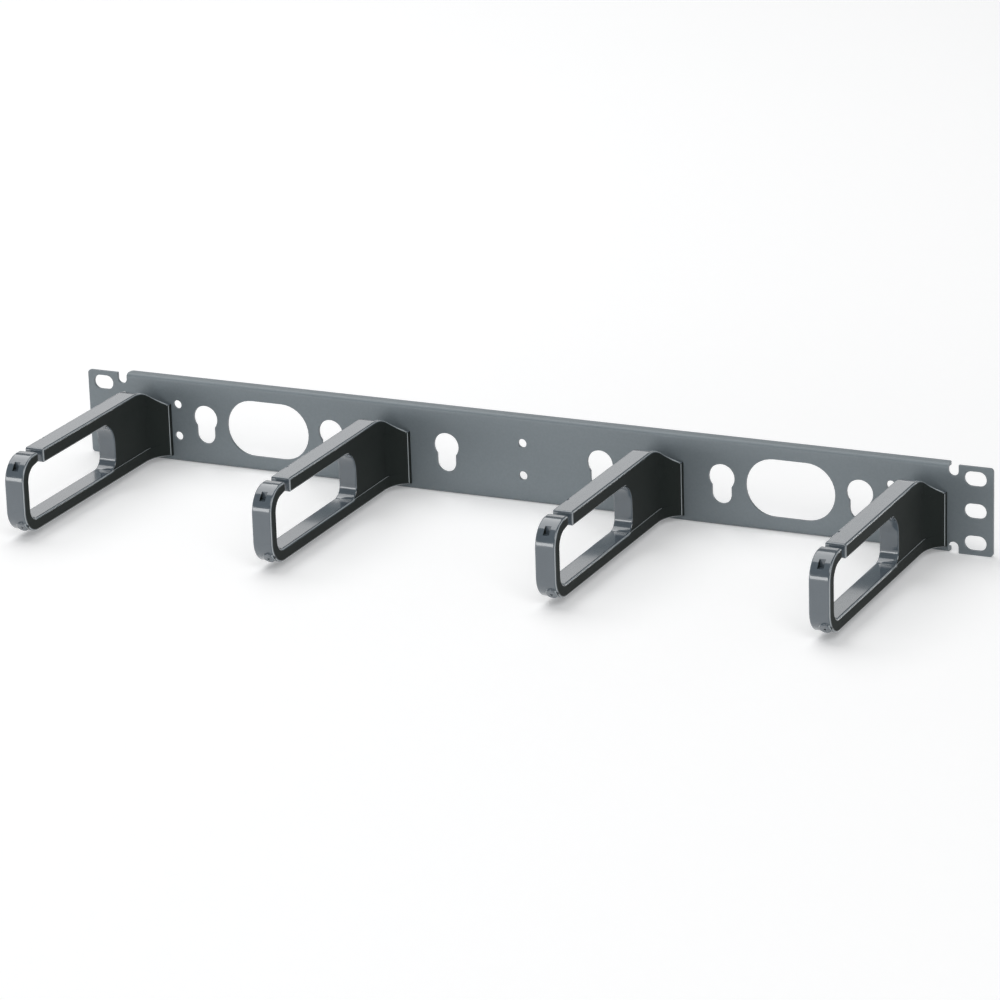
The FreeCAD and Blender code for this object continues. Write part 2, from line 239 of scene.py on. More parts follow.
# %% Which finish a point has
def mould_faces(tree, place, away):
    """Shares of the matt flanks with their painted shade, of the edges with their painted
    highlight, and of the parting line.
    """
    facing = add(tree, "ShaderNodeTexCoord").outputs["Normal"]
    turned = add(tree, "ShaderNodeSeparateXYZ", {"Vector": facing}).outputs
    sideways = add(tree, MATH, {0: turned["X"]}, operation="ABSOLUTE")
    level = add(tree, MATH, {0: turned["Z"]}, operation="ABSOLUTE")
    at = add(tree, "ShaderNodeSeparateXYZ", {"Vector": place}).outputs
    ledge_end = LEDGE_SIDE + LEDGE_WIDTH
    fades = {
        "flank": (sideways, *FLANK_SIDEWAYS),
        "flare front": (at["Y"], FLARE_FRONT_Y - FLARE_FADE, FLARE_FRONT_Y),
        "flare level": (level, *FLARE_LEVEL),
        "flare side": (away, FOOT_SIDE, FOOT_SIDE - FOOT_FADE),
        "edge start": (sideways, *EDGE_HIGHLIGHT_SIDEWAYS_LOW),
        "edge end": (sideways, *EDGE_HIGHLIGHT_SIDEWAYS_HIGH),
        "ledge start": (away, LEDGE_SIDE - LEDGE_FADE, LEDGE_SIDE),
        "ledge end": (away, ledge_end, ledge_end - LEDGE_FADE),
        "ledge level": (level, *LEDGE_LEVEL),
        "ledge low": (at["Z"], LEDGE_LOW_Z, LEDGE_LOW_Z + LEDGE_END_FADE),
        "ledge top": (at["Z"], LEDGE_TOP_Z, LEDGE_TOP_Z - LEDGE_END_FADE),
        "front": (turned["Y"], *FACING_FRONT),
        "parting": (away, PARTING_HALF_WIDTH, 0.0),
    }
    share = {name: add(tree, "ShaderNodeMapRange",
                       {"Value": value, "From Min": start, "From Max": whole},
                       interpolation_type="SMOOTHSTEP")
             for name, (value, start, whole) in fades.items()}
    together = {
        "foot": ("flare front", "flare level"),
        "flare": ("foot", "flare side"),
        "rounded": ("edge start", "edge end"),
        "ledge": ("ledge start", "ledge end", "ledge level", "ledge low", "ledge top"),
        "seam": ("front", "parting"),
    }
    for name, (first, *others) in together.items():
        share[name] = share[first]
        for other in others:
            share[name] = add(tree, MATH, {0: share[name], 1: share[other]}, operation="MULTIPLY")
    off_flare = add(tree, MATH, {0: 1.0, 1: share["flare"]}, operation="SUBTRACT")
    rounded = add(tree, MATH, {0: share["rounded"], 1: off_flare}, operation="MULTIPLY")
    # The edge share lightens the fillets and the ledge tops: painted highlight.
    edge = add(tree, MATH, {0: rounded, 1: share["ledge"]}, operation="MAXIMUM")
    # The flank share darkens the sideways faces and the foot flare to near black. That is painted
    # shade, beside their real matt roughness.
    flank = add(tree, MATH, {0: share["flank"], 1: share["foot"]}, operation="MAXIMUM")
    return flank, edge, share["seam"]


# The pale edges named in this print are painted highlight.
print("finishes on a ring: polished, matt and painted_highlight")

# %% [markdown]
# One Principled shader wears the shares. The clear coat lies only on the polished
# faces, and two bumps in a row give the waviness and the hair line.

# %% Black moulded plastic
def moulded_relief(tree, wave, seam):
    """Normal with the waviness and the parting line."""
    waves = add(tree, "ShaderNodeBump",
                {"Height": wave, "Strength": WAVE_STRENGTH, "Distance": WAVE_DEPTH})
    return add(tree, "ShaderNodeBump",
               {"Height": seam, "Distance": PARTING_HEIGHT, "Normal": waves})


def moulded_plastic():
    """Finish of the rings."""
    material, tree, output = new_material("black moulded ABS, polished with matt flanks")
    place = add(tree, "ShaderNodeTexCoord").outputs["Object"]
    flank, edge, seam = mould_faces(tree, place, from_middle(tree, place))
    wave = add(tree, "ShaderNodeTexNoise",
               {"Vector": place, "Scale": 1 / WAVE_SPACING, "Detail": 1.0})
    grain = add(tree, "ShaderNodeTexNoise",
                {"Vector": place, "Scale": 1 / GRAIN_SPACING, "Detail": 3.0})
    polish = add(tree, "ShaderNodeMapRange",
                 {"Value": grain, "From Min": NOISE_MIDDLE[0], "From Max": NOISE_MIDDLE[1],
                  "To Min": POLISH_ROUGHNESS[0], "To Max": POLISH_ROUGHNESS[1]})
    gloss = add(tree, "ShaderNodeMix", {"Factor": flank, "A": polish, "B": MATT_ROUGHNESS})
    tone = add(tree, "ShaderNodeMix",
               {"Factor": wave, "A": colour("#4C565E"), "B": colour("#545E66")},
               data_type="RGBA").outputs[2]
    # 03120E on the flanks is painted shade, and #BCC3C6 on the edges and ledges is painted
    # highlight.
    for share, code in ((flank, "#03120E"), (edge, "#BCC3C6")):
        tone = add(tree, "ShaderNodeMix", {"Factor": share, "A": tone, "B": colour(code)},
                   data_type="RGBA").outputs[2]
    plain = add(tree, MATH, {0: flank, 1: edge}, operation="MAXIMUM")
    clear = add(tree, MATH, {0: 1.0, 1: plain}, operation="SUBTRACT")
    skin = add(tree, "ShaderNodeBsdfPrincipled",
               {"Base Color": tone, "Roughness": gloss, "IOR": ABS_IOR,
                "Normal": moulded_relief(tree, wave, seam), "Coat Weight": clear,
                "Coat Roughness": CLEAR_ROUGHNESS, "Coat IOR": CLEAR_IOR})
    tree.links.new(skin.outputs["BSDF"], output.inputs["Surface"])
    return material


MOULDED_ABS = moulded_plastic()
print("made", MOULDED_ABS.name)

# %% [markdown]
# The screws are steel with a zinc plating. Zinc is passivated after plating, which
# leaves it dull and a little mottled, so a noise about as fine as its crystals moves
# both the tone and the gloss.

# %% Zinc plate
MOTTLE_SPACING = 0.9 * MM
ZINC_ROUGHNESS = (0.26, 0.42)


def zinc_plate():
    """Finish of the screws."""
    material, tree, output = new_material("passivated zinc plated steel")
    place = add(tree, "ShaderNodeTexCoord").outputs["Object"]
    mottle = add(tree, "ShaderNodeTexNoise",
                 {"Vector": place, "Scale": 1 / MOTTLE_SPACING, "Detail": 4.0})
    tone = add(tree, "ShaderNodeMix",
               {"Factor": mottle, "A": colour("#8C9094"), "B": colour("#B4B8BA")},
               data_type="RGBA").outputs[2]
    gloss = add(tree, "ShaderNodeMapRange",
                {"Value": mottle, "To Min": ZINC_ROUGHNESS[0], "To Max": ZINC_ROUGHNESS[1]})
    plate = add(tree, "ShaderNodeBsdfPrincipled",
                {"Base Color": tone, "Roughness": gloss, "Metallic": 1.0})
    tree.links.new(plate.outputs["BSDF"], output.inputs["Surface"])
    return material


ZINC = zinc_plate()
print("made", ZINC.name)

# %% [markdown]
# Two pieces follow a rule, so Geometry Nodes make them: the sheet is punched and
# folded, and the screws repeat. These helpers open a tree with named inputs, grow it
# on some seed geometry, and turn the result into a plain mesh. The signed volume of a
# closed mesh is positive only when its faces point outwards, so it is printed as a
# check.

# %% Helpers for Geometry Nodes
WELD = 0.01 * MM                 # points closer than this are merged


def new_tree(name, labels, objects=()):
    """Geometry Nodes tree with a number input for each label, and its input sockets."""
    tree = bpy.data.node_groups.new(name, "GeometryNodeTree")
    tree.interface.new_socket("Geometry", in_out="INPUT", socket_type="NodeSocketGeometry")
    tree.interface.new_socket("Geometry", in_out="OUTPUT", socket_type="NodeSocketGeometry")
    for label in labels:
        tree.interface.new_socket(label, in_out="INPUT", socket_type="NodeSocketFloat")
    for label in objects:
        tree.interface.new_socket(label, in_out="INPUT", socket_type="NodeSocketObject")
    return tree, add(tree, "NodeGroupInput").outputs


def close_tree(tree, geometry, material):
    """End of a tree: real geometry in its material."""
    real = add(tree, "GeometryNodeRealizeInstances", {"Geometry": geometry})
    dressed = add(tree, "GeometryNodeSetMaterial", {"Geometry": real, "Material": material})
    add(tree, "NodeGroupOutput", {"Geometry": dressed})


def grown(name, seed, tree, values):
    """Plain mesh object that a tree grows on seed data."""
    grower = bpy.data.objects.new(name + "_seed", seed)
    bpy.context.scene.collection.objects.link(grower)
    modifier = grower.modifiers.new("nodes", "NODES")
    modifier.node_group = tree
    for item in tree.interface.items_tree:
        if item.in_out == "INPUT" and item.name in values:
            modifier[item.identifier] = values[item.name]
    bpy.context.view_layer.update()
    graph = bpy.context.evaluated_depsgraph_get()
    mesh = bpy.data.meshes.new_from_object(grower.evaluated_get(graph))
    grower.modifiers.remove(modifier)
    bpy.data.objects.remove(grower)
    mesh.name = name
    piece = bpy.data.objects.new(name, mesh)
    bpy.context.scene.collection.objects.link(piece)
    return piece


def measured(piece):
    """Print what a finished mesh holds."""
    body = bmesh.new()
    body.from_mesh(piece.data)
    open_edges = sum(1 for edge in body.edges if not edge.is_manifold)
    volume = body.calc_volume(signed=True) / MM ** 3
    print(f"{piece.name}: {len(body.faces)} faces, {open_edges} open edges, {volume:.0f} mm3")
    body.free()


print("Geometry Nodes helpers ready")

# %% [markdown]
# ## The folded sheet
# The real panel starts flat. Its outline is cut with a U shaped notch at each end of
# each fold, so that the flange can bend without tearing the ear beside it. The flat
# blank is drawn here in three outlines: the front with its ears, and the two flanges.
# Straights and arcs make each outline, so its points are worked out from a few sizes,
# and the sizes of the whole come from the frame.

# %% Sizes of the sheet
SHEET = 1.5 * MM
BEND_R = 2.1 * MM                # outer radius of each fold
EAR_WIDTH = 22.15 * MM
EAR_CORNER_R = 1.8 * MM
NOTCH_WIDTH = 5.1 * MM
NOTCH_DEPTH = 5.5 * MM
FLANGE_CORNER_R = 1.5 * MM
ARC_STEP = math.radians(9)       # largest turn of one short straight on an arc
SAME_POINT = 0.001 * MM          # closer points of an outline are one

panel_low, panel_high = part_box("panel")
HALF_W = panel_high[0]
HALF_H = panel_high[2]
FRONT_Y = panel_low[1]
FLANGE_DEPTH = panel_high[1] - FRONT_Y
HALF_CHANNEL = HALF_W - EAR_WIDTH
BEND_LINE = HALF_H - BEND_R      # where the flat front ends and the fold starts
FOLD_LENGTH = BEND_R * math.pi / 2
FLANGE_LINE = BEND_LINE + FOLD_LENGTH
BLANK_EDGE = FLANGE_LINE + FLANGE_DEPTH - BEND_R
print("blank is", round(2 * HALF_W / MM, 1), "by", round(2 * BLANK_EDGE / MM, 1), "mm")

# %% [markdown]
# An outline is a short list of corners, each with the radius that rounds it. The arc
# at a corner starts and ends where a circle of that radius touches both sides. The
# front is alike in its four quarters, so its list is written once and mirrored.

# %% Outlines of the blank
def rounded_outline(corners):
    """Points round a closed outline of (x, y, radius) corners, with arcs at its turns."""
    points = []
    for i, (x, y, radius) in enumerate(corners):
        here = Vector((x, y))
        to_before = (Vector(corners[i - 1][:2]) - here).normalized()
        to_after = (Vector(corners[(i + 1) % len(corners)][:2]) - here).normalized()
        half_angle = to_before.angle(to_after) / 2
        middle = here + (to_before + to_after).normalized() * radius / math.sin(half_angle)
        first = here + to_before * radius / math.tan(half_angle) - middle
        last = here + to_after * radius / math.tan(half_angle) - middle
        turn = math.copysign(math.pi - 2 * half_angle, first.cross(last))
        steps = math.ceil(abs(turn) / ARC_STEP) if radius else 0
        for step in range(steps + 1):
            point = middle + Matrix.Rotation(turn * step / max(steps, 1), 2) @ first
            if not points or (point - points[-1]).length > SAME_POINT:
                points.append(point)
    return points


def front_outline():
    """Front and ears, with a notch beside each end of each fold."""
    notch_floor = HALF_H - NOTCH_DEPTH
    notch_end = HALF_CHANNEL + NOTCH_WIDTH
    quarter = [
        (HALF_CHANNEL, BEND_LINE, 0),
        (HALF_CHANNEL, notch_floor, NOTCH_WIDTH / 2),
        (notch_end, notch_floor, NOTCH_WIDTH / 2),
        (notch_end, HALF_H, 0),
        (HALF_W, HALF_H, EAR_CORNER_R),
    ]
    corners = []
    for sx, sy in ((1, 1), (1, -1), (-1, -1), (-1, 1)):
        run = [(sx * x, sy * y, r) for x, y, r in quarter]
        corners += run if sx * sy > 0 else run[::-1]
    return rounded_outline(corners)


def flange_outline(side):
    """Flat strip beyond a fold, with its two free corners rounded."""
    return rounded_outline([
        (-HALF_CHANNEL, side * FLANGE_LINE, 0),
        (HALF_CHANNEL, side * FLANGE_LINE, 0),
        (HALF_CHANNEL, side * BLANK_EDGE, FLANGE_CORNER_R),
        (-HALF_CHANNEL, side * BLANK_EDGE, FLANGE_CORNER_R),
    ])


def blank_outlines():
    """Curve object with the outlines of the blank, one closed spline for each."""
    curve = bpy.data.curves.new("blank_outlines", "CURVE")
    for points in (front_outline(), flange_outline(1), flange_outline(-1)):
        spline = curve.splines.new("POLY")
        spline.points.add(len(points) - 1)
        for slot, point in zip(spline.points, points):
            slot.co = (point.x, point.y, 0.0, 1.0)
        spline.use_cyclic_u = True
    outlines = bpy.data.objects.new("blank_outlines", curve)
    bpy.context.scene.collection.objects.link(outlines)
    return outlines


OUTLINES = blank_outlines()
print("points in each outline:", [len(s.points) for s in OUTLINES.data.splines])

# %% [markdown]
# A turret punch knocks the openings out of the blank one hit at a time. Its program
# is a list of places and tool numbers, and a mesh of loose points with a "tool"
# attribute is just such a list. Places along the sheet are shares of the folded half
# length, so they stay in proportion. The screw holes stand where the frame's rings
# and screws are.

# %% Punch plan
RACK_HOLE_INSET = 8.75 * MM
RACK_HOLE_PITCH = 15.875 * MM
SPARE_HOLE_PITCH = 16.6 * MM
SCREW_PITCH = 16.0 * MM
KEYHOLE_MID = -0.8 * MM
OBROUND_SHARES = (-0.638, 0.638)
KEYHOLE_SHARES = (-0.7985, -0.4773, -0.1878, 0.1878, 0.4773, 0.7985)
SPARE_HOLE_SHARES = (-0.8697, 0.0, 0.8697)
RACK_SLOT, OBROUND, SPARE_HOLE, SCREW_HOLE, KEYHOLE = range(5)

screws_low, screws_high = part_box("ring_screws")
SCREW_MID_Z = (screws_low[2] + screws_high[2]) / 2
SCREW_PLACES = [(ring_middle(number), SCREW_MID_Z + side * SCREW_PITCH / 2)
                for number in (1, 2, 3, 4) for side in (-1, 1)]


def punch_hits():
    """Every (x, height, tool) hit on the blank."""
    hits = [(side * (HALF_W - RACK_HOLE_INSET), row * RACK_HOLE_PITCH, RACK_SLOT)
            for side in (-1, 1) for row in (-1, 0, 1)]
    hits += [(share * HALF_CHANNEL, 0.0, OBROUND) for share in OBROUND_SHARES]
    hits += [(share * HALF_CHANNEL, side * SPARE_HOLE_PITCH / 2, SPARE_HOLE)
             for share in SPARE_HOLE_SHARES for side in (-1, 1)]
    hits += [(x, height, SCREW_HOLE) for x, height in SCREW_PLACES]
    hits += [(share * HALF_CHANNEL, KEYHOLE_MID, KEYHOLE) for share in KEYHOLE_SHARES]
    return hits


def punch_plan():
    """Mesh of loose points, each with the number of its tool."""
    hits = punch_hits()
    mesh = bpy.data.meshes.new("punch_plan")
    mesh.from_pydata([(x, height, 0.0) for x, height, tool in hits], [], [])
    numbers = mesh.attributes.new("tool", "INT", "POINT")
    numbers.data.foreach_set("value", [tool for x, height, tool in hits])
    return mesh


PUNCH_PLAN = punch_plan()
print("punch hits:", len(PUNCH_PLAN.vertices))

# %% [markdown]
# ### Punch, fold and thicken
# The tree puts a tool's outline on every point of the plan. Fill Curve then fills the
# blank and leaves the openings, as a press would. Two narrow grids join the front to
# the flanges where the folds will be. One Set Position folds everything at once: a
# point's distance beyond the bend line first runs round an arc and then straight back.
# Last, the skin is extruded inwards by the sheet's thickness.

# %% Round and obround tools
HOLE_SIDES = 40
NEARLY_HALF = 0.4999             # arcs of a true half height would meet in a double point


def obround_tool(tree, length, height):
    """Round ended outline lying along the sheet."""
    box = add(tree, "GeometryNodeCurvePrimitiveQuadrilateral", {"Width": length, "Height": height})
    radius = add(tree, MATH, {0: height, 1: NEARLY_HALF}, operation="MULTIPLY")
    return add(tree, "GeometryNodeFilletCurve",
               {"Curve": box, "Radius": radius, "Count": HOLE_SIDES // 4, "Limit Radius": True},
               mode="POLY")


def round_tool(tree, diameter):
    """Round outline."""
    radius = add(tree, MATH, {0: diameter, 1: 0.5}, operation="MULTIPLY")
    return add(tree, "GeometryNodeCurvePrimitiveCircle",
               {"Radius": radius, "Resolution": HOLE_SIDES})


print("straights round a hole:", HOLE_SIDES)

# %% [markdown]
# A keyhole is one closed line with two round ends of different size, so its points are
# placed by a rule: the first half of them runs round the lobe and the rest round the
# foot of the slot. Three switches give each point the angle, the diameter and the lift
# of its own end.

# %% Keyhole tool
def keyhole_tool(tree, lobe, slot, height):
    """Round lobe on top with a narrower round ended slot hanging from it."""
    index = add(tree, "GeometryNodeInputIndex")
    on_slot = add(tree, "FunctionNodeCompare", {"A": index, "B": HOLE_SIDES // 2},
                  data_type="INT", operation="GREATER_EQUAL")
    share = add(tree, MATH, {0: slot, 1: lobe}, operation="DIVIDE")
    corner = add(tree, MATH, {0: share}, operation="ARCSINE")
    lobe_start = add(tree, MATH, {0: corner, 1: math.pi / 2}, operation="SUBTRACT")
    lobe_end = add(tree, MATH, {0: 3 * math.pi / 2, 1: corner}, operation="SUBTRACT")
    angles = [add(tree, "ShaderNodeMapRange",
                  {"Value": index, "From Min": first, "From Max": first + HOLE_SIDES // 2 - 1,
                   "To Min": start, "To Max": end}, clamp=False)
              for first, start, end in ((0.0, lobe_start, lobe_end),
                                        (HOLE_SIDES / 2, math.pi, 2 * math.pi))]
    lifts = []
    for above, below in ((height, lobe), (slot, height)):
        whole = add(tree, MATH, {0: above, 1: below}, operation="SUBTRACT")
        lifts.append(add(tree, MATH, {0: whole, 1: 0.5}, operation="MULTIPLY"))
    angle, diameter, lift = [
        add(tree, "GeometryNodeSwitch", {"Switch": on_slot, "False": for_lobe, "True": for_slot},
            input_type="FLOAT")
        for for_lobe, for_slot in (angles, (lobe, slot), lifts)]
    radius = add(tree, MATH, {0: diameter, 1: 0.5}, operation="MULTIPLY")
    cosine = add(tree, MATH, {0: angle}, operation="COSINE")
    sine = add(tree, MATH, {0: angle}, operation="SINE")
    across = add(tree, MATH, {0: radius, 1: cosine}, operation="MULTIPLY")
    rise = add(tree, MATH, {0: radius, 1: sine}, operation="MULTIPLY")
    up = add(tree, MATH, {0: rise, 1: lift}, operation="ADD")
    place = add(tree, "ShaderNodeCombineXYZ", {"X": across, "Y": up})
    return add(tree, "GeometryNodeSetPosition",
               {"Geometry": round_tool(tree, lobe), "Position": place})


print("tools in the turret:", KEYHOLE + 1)

# %% [markdown]
# The points of the plan carry the number of their tool, so each outline goes only on
# the points that ask for it.

# %% Punch
def punched(tree, hits, tools):
    """A tool's outline on each point of the plan that asks for it."""
    wanted = add(tree, "GeometryNodeInputNamedAttribute", {"Name": "tool"}, data_type="INT")
    outlines = []
    for number, tool in tools.items():
        chosen = add(tree, "FunctionNodeCompare",
                     {"A": wanted.outputs["Attribute"], "B": number},
                     data_type="INT", operation="EQUAL")
        outlines.append(add(tree, "GeometryNodeInstanceOnPoints",
                            {"Points": hits, "Selection": chosen, "Instance": tool}))
    return outlines


print("hits of each tool:", [sum(hit[2] == number for hit in punch_hits())
                             for number in range(KEYHOLE + 1)])

# %% [markdown]
# Steel bends round a radius and not along a line, so the strips over the folds are
# divided finely enough to look round. The ears lie beyond the channel's ends and stay
# flat, although they are as high as the folds.

# %% Fold
FOLD_STEPS = 10
CHANNEL_SLACK = 0.1 * MM         # what stands at the channel's very end still folds


def fold_strips(tree, half_channel, bend_line, fold_length):
    """Narrow grids over the two folds, from the front's edge to the flange's."""
    length = add(tree, MATH, {0: half_channel, 1: 2.0}, operation="MULTIPLY")
    strip = add(tree, "GeometryNodeMeshGrid",
                {"Size X": length, "Size Y": fold_length,
                 "Vertices X": 2, "Vertices Y": FOLD_STEPS + 1})
    half_fold = add(tree, MATH, {0: fold_length, 1: 0.5}, operation="MULTIPLY")
    middle = add(tree, MATH, {0: bend_line, 1: half_fold}, operation="ADD")
    strips = []
    for side in (-1.0, 1.0):
        height = add(tree, MATH, {0: middle, 1: side}, operation="MULTIPLY")
        place = add(tree, "ShaderNodeCombineXYZ", {"Y": height})
        strips.append(add(tree, "GeometryNodeTransform",
                          {"Geometry": strip, "Translation": place}))
    return strips


def past_bend(tree, at, height, sizes):
    """How far a point lies past its bend line on the flat blank; the ears don't count."""
    apart = add(tree, MATH, {0: at["X"]}, operation="ABSOLUTE")
    channel_end = add(tree, MATH, {0: sizes["Half channel"], 1: CHANNEL_SLACK}, operation="ADD")
    on_channel = add(tree, MATH, {0: apart, 1: channel_end}, operation="LESS_THAN")
    above = add(tree, MATH, {0: height, 1: sizes["Bend line"]}, operation="SUBTRACT")
    above = add(tree, MATH, {0: above, 1: 0.0}, operation="MAXIMUM")
    return add(tree, MATH, {0: on_channel, 1: above}, operation="MULTIPLY")


def folded(tree, flat, sizes, front_y):
    """Stand the blank up and bend what lies beyond the bend lines backwards."""
    radius = sizes["Bend radius"]
    here = add(tree, "GeometryNodeInputPosition")
    at = add(tree, "ShaderNodeSeparateXYZ", {"Vector": here}).outputs
    height = add(tree, MATH, {0: at["Y"]}, operation="ABSOLUTE")
    past = past_bend(tree, at, height, sizes)
    around = add(tree, MATH, {0: past, 1: sizes["Fold length"]}, operation="MINIMUM")
    beyond = add(tree, MATH, {0: past, 1: around}, operation="SUBTRACT")
    angle = add(tree, MATH, {0: around, 1: radius}, operation="DIVIDE")
    sine = add(tree, MATH, {0: angle}, operation="SINE")
    cosine = add(tree, MATH, {0: angle}, operation="COSINE")
    rise = add(tree, MATH, {0: radius, 1: sine}, operation="MULTIPLY")
    left_over = add(tree, MATH, {0: radius, 1: cosine}, operation="MULTIPLY")
    shrink = add(tree, MATH, {0: radius, 1: left_over}, operation="SUBTRACT")
    flat_part = add(tree, MATH, {0: height, 1: past}, operation="SUBTRACT")
    new_height = add(tree, MATH, {0: flat_part, 1: rise}, operation="ADD")
    side = add(tree, MATH, {0: at["Y"]}, operation="SIGN")
    signed = add(tree, MATH, {0: side, 1: new_height}, operation="MULTIPLY")
    run = add(tree, MATH, {0: shrink, 1: beyond}, operation="ADD")
    back = add(tree, MATH, {0: run, 1: front_y}, operation="ADD")
    place = add(tree, "ShaderNodeCombineXYZ", {"X": at["X"], "Y": back, "Z": signed})
    return add(tree, "GeometryNodeSetPosition", {"Geometry": flat, "Position": place})


print("straights round a fold:", FOLD_STEPS)

# %% [markdown]
# The whole tree takes its sizes by name. The lining that the extrusion adds faces the
# same way as the skin, so it is flipped before the seams are welded.

# %% Whole sheet
SHEET_SIZES = {
    "Sheet": SHEET, "Bend radius": BEND_R, "Bend line": BEND_LINE,
    "Fold length": FOLD_LENGTH, "Half channel": HALF_CHANNEL,
    "Rack slot length": 11.0 * MM, "Rack slot height": 7.4 * MM,
    "Obround length": 45.6 * MM, "Obround height": 29.1 * MM,
    "Spare hole": 4.5 * MM, "Screw hole": 4.0 * MM,
    "Keyhole lobe": 13.4 * MM, "Keyhole slot": 10.2 * MM, "Keyhole height": 20.0 * MM,
}


def sheet_tree():
    """Whole tree of the panel: fill, join, fold, thicken."""
    tree, given = new_tree("punched and folded sheet", SHEET_SIZES, objects=["Outlines"])
    blank = add(tree, "GeometryNodeObjectInfo", {"Object": given["Outlines"]})
    tools = {
        RACK_SLOT: obround_tool(tree, given["Rack slot length"], given["Rack slot height"]),
        OBROUND: obround_tool(tree, given["Obround length"], given["Obround height"]),
        SPARE_HOLE: round_tool(tree, given["Spare hole"]),
        SCREW_HOLE: round_tool(tree, given["Screw hole"]),
        KEYHOLE: keyhole_tool(tree, given["Keyhole lobe"], given["Keyhole slot"],
                              given["Keyhole height"]),
    }
    holes = punched(tree, given["Geometry"], tools)
    lines = add(tree, "GeometryNodeJoinGeometry",
                {"Geometry": [blank.outputs["Geometry"], *holes]})
    real = add(tree, "GeometryNodeRealizeInstances", {"Geometry": lines})
    filled = add(tree, "GeometryNodeFillCurve", {"Curve": real}, mode="NGONS")
    strips = fold_strips(tree, given["Half channel"], given["Bend line"], given["Fold length"])
    joined = add(tree, "GeometryNodeJoinGeometry", {"Geometry": [filled, *strips]})
    flat = add(tree, "GeometryNodeMergeByDistance", {"Geometry": joined, "Distance": WELD})
    skin = folded(tree, flat, given, FRONT_Y)
    inward = add(tree, MATH, {0: given["Sheet"], 1: -1.0}, operation="MULTIPLY")
    thick = add(tree, "GeometryNodeExtrudeMesh",
                {"Mesh": skin, "Offset Scale": inward, "Individual": False}, mode="FACES")
    lining = add(tree, "GeometryNodeFlipFaces", {"Mesh": thick})
    shell = add(tree, "GeometryNodeJoinGeometry", {"Geometry": [skin, lining]})
    whole = add(tree, "GeometryNodeMergeByDistance", {"Geometry": shell, "Distance": WELD})
    close_tree(tree, whole, POWDER_COAT)
    return tree


panel = grown("folded_panel", PUNCH_PLAN, sheet_tree(), {**SHEET_SIZES, "Outlines": OUTLINES})
bpy.data.objects.remove(OUTLINES)
measured(panel)

# %% [markdown]
# Laser cut and punched edges are never quite sharp, and powder gathers on them, so
# every edge gets a fine rounding. A Bevel modifier limited to real corners does it,
# and keeps the faces beside it flat in the light. The piece then stands for the
# frame's plain panel.

# %% Edges of the sheet
EDGE_R = 0.28 * MM
SMOOTH_BELOW = math.radians(30)


def soften_edges(piece, radius):
    """Smooth shading with sharp corners kept, and a fine rounding on them."""
    piece.data.shade_smooth()
    piece.data.set_sharp_from_angle(angle=SMOOTH_BELOW)
    bevel = piece.modifiers.new("edge rounding", "BEVEL")
    bevel.width = radius
    bevel.segments = 2
    bevel.limit_method = "ANGLE"
    bevel.angle_limit = SMOOTH_BELOW
    bevel.harden_normals = True


soften_edges(panel, EDGE_R)
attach(panel, "root")
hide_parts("panel")
print("edge rounding", EDGE_R / MM, "mm on", panel.name)

# %% [markdown]
# ## The ring screws
# Each ring hangs on two pan head screws driven from behind, with a cross recess in
# the head. The screw is a turned part, and Curve to Mesh is a lathe when the profile
# is swept round a circle. The profile's corners are set by an Index Switch, one for
# each point, from the named sizes. The sweep leaves the head hanging down along -Z. A
# boolean cuts the cross in it once, and a quarter turn points the head to the rear
# before the screw is set on eight points.

# %% Sizes of a screw
SCREW_SIZES = {
    "Head diameter": 6.8 * MM, "Head height": 2.4 * MM, "Head edge": 1.2 * MM,
    "Shank diameter": 3.4 * MM, "Length": 12.0 * MM, "Tip": 1.2 * MM,
    "Cross span": 3.8 * MM, "Cross width": 1.0 * MM, "Cross depth": 1.3 * MM,
}
LATHE_R = 1.0 * MM               # radius of the circle that the profile is swept round
LATHE_SIDES = 40
HEAD_EDGE_STEPS = 7
RIM = 1                          # place of the head's outer corner in the profile's list


def screw_plan():
    """Loose points where the screws stand."""
    mesh = bpy.data.meshes.new("screw_plan")
    mesh.from_pydata([(x, 0.0, z) for x, z in SCREW_PLACES], [], [])
    return mesh


print("screws:", len(SCREW_PLACES), "at heights",
      sorted({round(z / MM, 2) for x, z in SCREW_PLACES}), "mm")

# %% [markdown]
# Curve to Mesh sets the profile's own origin on the circle, which already stands
# LATHE_R away from the axis. So LATHE_R is taken off each of the profile's radii, and
# the swept screw comes out at its true size.

